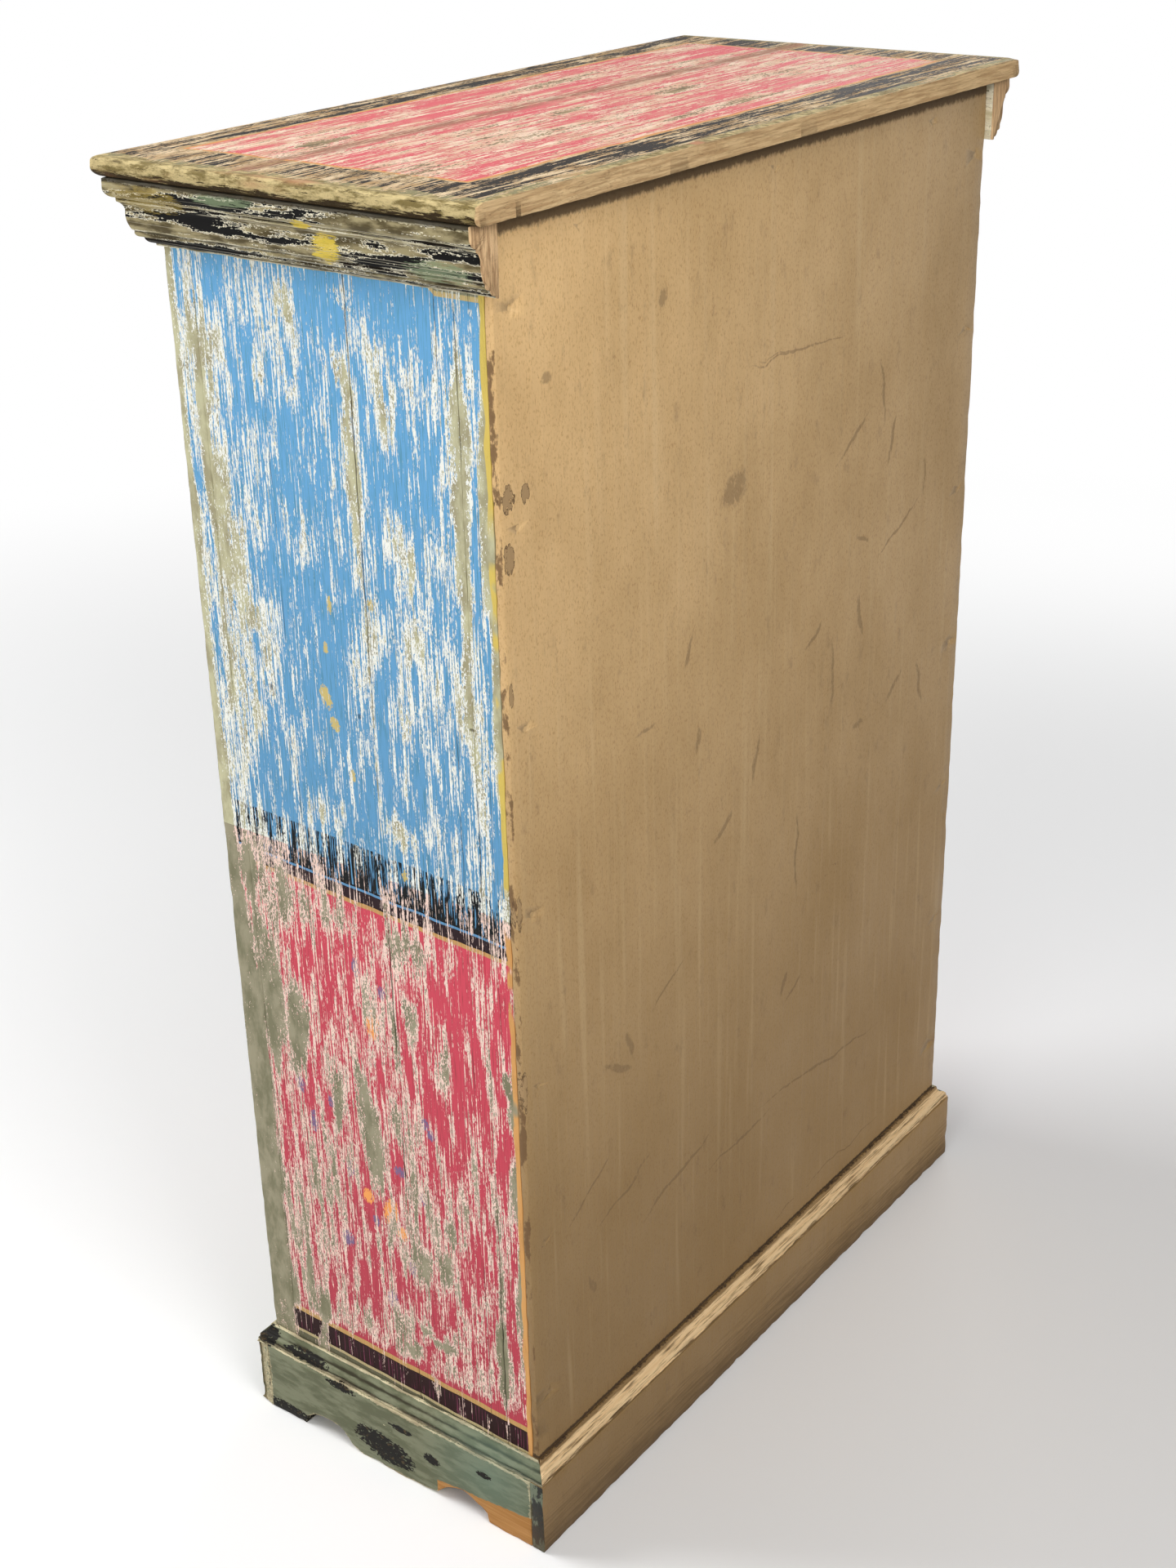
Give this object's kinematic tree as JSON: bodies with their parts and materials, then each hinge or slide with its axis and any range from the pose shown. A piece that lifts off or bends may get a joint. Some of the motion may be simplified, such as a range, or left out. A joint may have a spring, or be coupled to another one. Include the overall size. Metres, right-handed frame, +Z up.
{
  "type": "two-door cabinet",
  "caption": "Tall shallow painted wooden cabinet: moulded cornice, scalloped plinth, framed doors on butt hinges, inner shelves, barrel bolts and a turn button.",
  "frame": {"origin": "on the floor, under the middle of the top board's outline", "axes": "+Z up, -Y out of the front with the doors, +X towards the right-hand side as seen from the front"},
  "size_m": [0.858, 0.406, 1.3],
  "materials": {
    "painted_sides": "blue and red brushed paint, scraped back to a cream undercoat and old green",
    "painted_top": "pink-red brushed paint worn along the grain, black and cream border",
    "painted_cornice": "worn sage, olive and black paint",
    "painted_plinth": "worn sage paint, tan at the back",
    "painted_back": "tan brushed paint, scuffed",
    "painted_doors": "blue and red brushed paint, worn",
    "turned_wood": "worn black paint on wood",
    "bare_wood": "aged bare softwood",
    "iron_fittings": "dark forged iron",
    "steel_fixings": "dull steel"
  },
  "bodies": {
    "carcass": {"top_plank_front": "painted_top", "top_plank_back": "painted_top", "cornice_front": "painted_cornice", "cornice_right": "painted_cornice", "cornice_left": "painted_cornice", "front_post_right": "painted_sides", "front_post_left": "painted_sides", "head_rail": "painted_sides", "sill_rail": "painted_sides", "door_stops": "bare_wood", "right_side_plank_front": "painted_sides", "right_side_plank_back": "painted_sides", "left_side_plank_front": "painted_sides", "left_side_plank_back": "painted_sides", "rear_post_right": "painted_sides", "rear_post_left": "painted_sides", "rear_top_rail": "bare_wood", "back_panel": "painted_back", "back_panel_nails": "steel_fixings", "floor_board": "bare_wood", "shelf_1": "bare_wood", "shelf_2": "bare_wood", "shelf_cleats": "bare_wood", "plinth_right": "painted_plinth", "plinth_left": "painted_plinth", "plinth_front": "painted_plinth", "plinth_back": "painted_plinth", "plinth_moulding_front": "painted_plinth", "plinth_moulding_back": "painted_plinth", "plinth_moulding_right": "painted_plinth", "plinth_moulding_left": "painted_plinth", "post_hinge_leaves": "iron_fittings", "hinge_pins": "iron_fittings", "post_hinge_screws": "steel_fixings", "bolt_keepers": "iron_fittings"},
    "door_right": {"right_door_lower_panel": "painted_doors", "right_door_upper_panel": "painted_doors", "right_door_bottom_rail": "painted_doors", "right_door_lock_rail": "painted_doors", "right_door_top_rail": "painted_doors", "right_door_meeting_stile": "painted_doors", "right_door_hinge_stile": "painted_doors", "right_door_knob": "turned_wood", "right_door_hinge_leaves": "iron_fittings", "right_door_screws": "steel_fixings"},
    "door_left": {"left_door_lower_panel": "painted_doors", "left_door_upper_panel": "painted_doors", "left_door_bottom_rail": "painted_doors", "left_door_lock_rail": "painted_doors", "left_door_top_rail": "painted_doors", "left_door_meeting_stile": "painted_doors", "left_door_hinge_stile": "painted_doors", "left_door_knob": "turned_wood", "left_door_hinge_leaves": "iron_fittings", "left_door_screws": "steel_fixings", "bolt_plates": "iron_fittings", "turn_button_screw": "steel_fixings"},
    "bolt_upper": {"bolt_upper": "iron_fittings"},
    "bolt_lower": {"bolt_lower": "iron_fittings"},
    "turn_button": {"turn_button": "turned_wood"}
  },
  "joints": [
    {"name": "right_door_hinge", "type": "hinge", "parent": "carcass", "child": "door_right", "pos_m": [0.3467, -0.1685, 0.67], "axis": [0, 0, 1], "range_deg": [0, 170]},
    {"name": "left_door_hinge", "type": "hinge", "parent": "carcass", "child": "door_left", "pos_m": [-0.3467, -0.1685, 0.67], "axis": [0, 0, -1], "range_deg": [0, 170]},
    {"name": "turn_button_pivot", "type": "hinge", "parent": "door_left", "child": "turn_button", "pos_m": [-0.0245, -0.164, 0.83], "axis": [0, 1, 0], "range_deg": [0, 90]},
    {"name": "upper_bolt_slide", "type": "slide", "parent": "door_left", "child": "bolt_upper", "axis": [0, 0, 1], "range_m": [0, 0.02]},
    {"name": "lower_bolt_slide", "type": "slide", "parent": "door_left", "child": "bolt_lower", "axis": [0, 0, -1], "range_m": [0, 0.02]}
  ]
}
